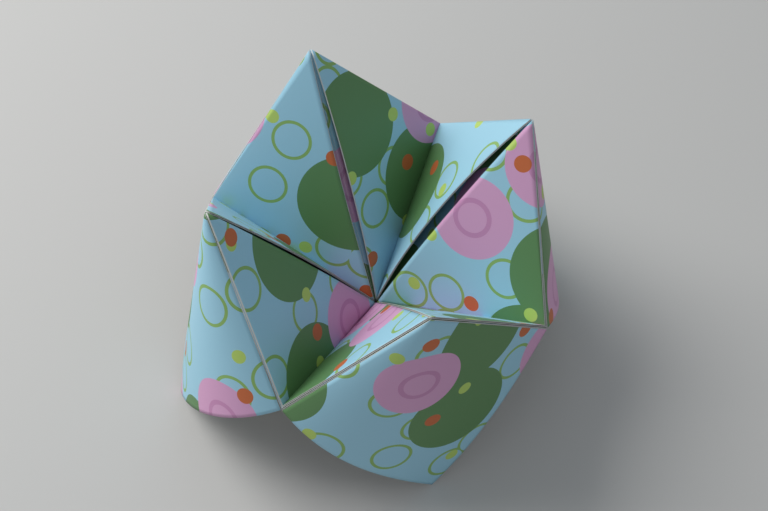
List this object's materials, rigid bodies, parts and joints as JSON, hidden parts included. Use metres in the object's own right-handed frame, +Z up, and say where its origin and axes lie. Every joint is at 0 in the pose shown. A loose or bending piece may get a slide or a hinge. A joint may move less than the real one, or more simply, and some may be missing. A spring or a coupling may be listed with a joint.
{
  "type": "paper fortune teller",
  "caption": "Folded paper fortune teller of one square sheet, standing open on its paper corners, with finger pockets under pointed tips.",
  "frame": {"origin": "bottom centre of the bounding box: the floor under the middle of the standing object", "axes": "+Z up out of the floor, through the open mouth; -Y towards the tip whose pocket faces the viewer"},
  "size_m": [0.0946, 0.0994, 0.0706],
  "materials": {
    "printed_paper": "printed paper, satin"
  },
  "bodies": {
    "root": {"folded_sheet": "printed_paper"}
  },
  "joints": []
}
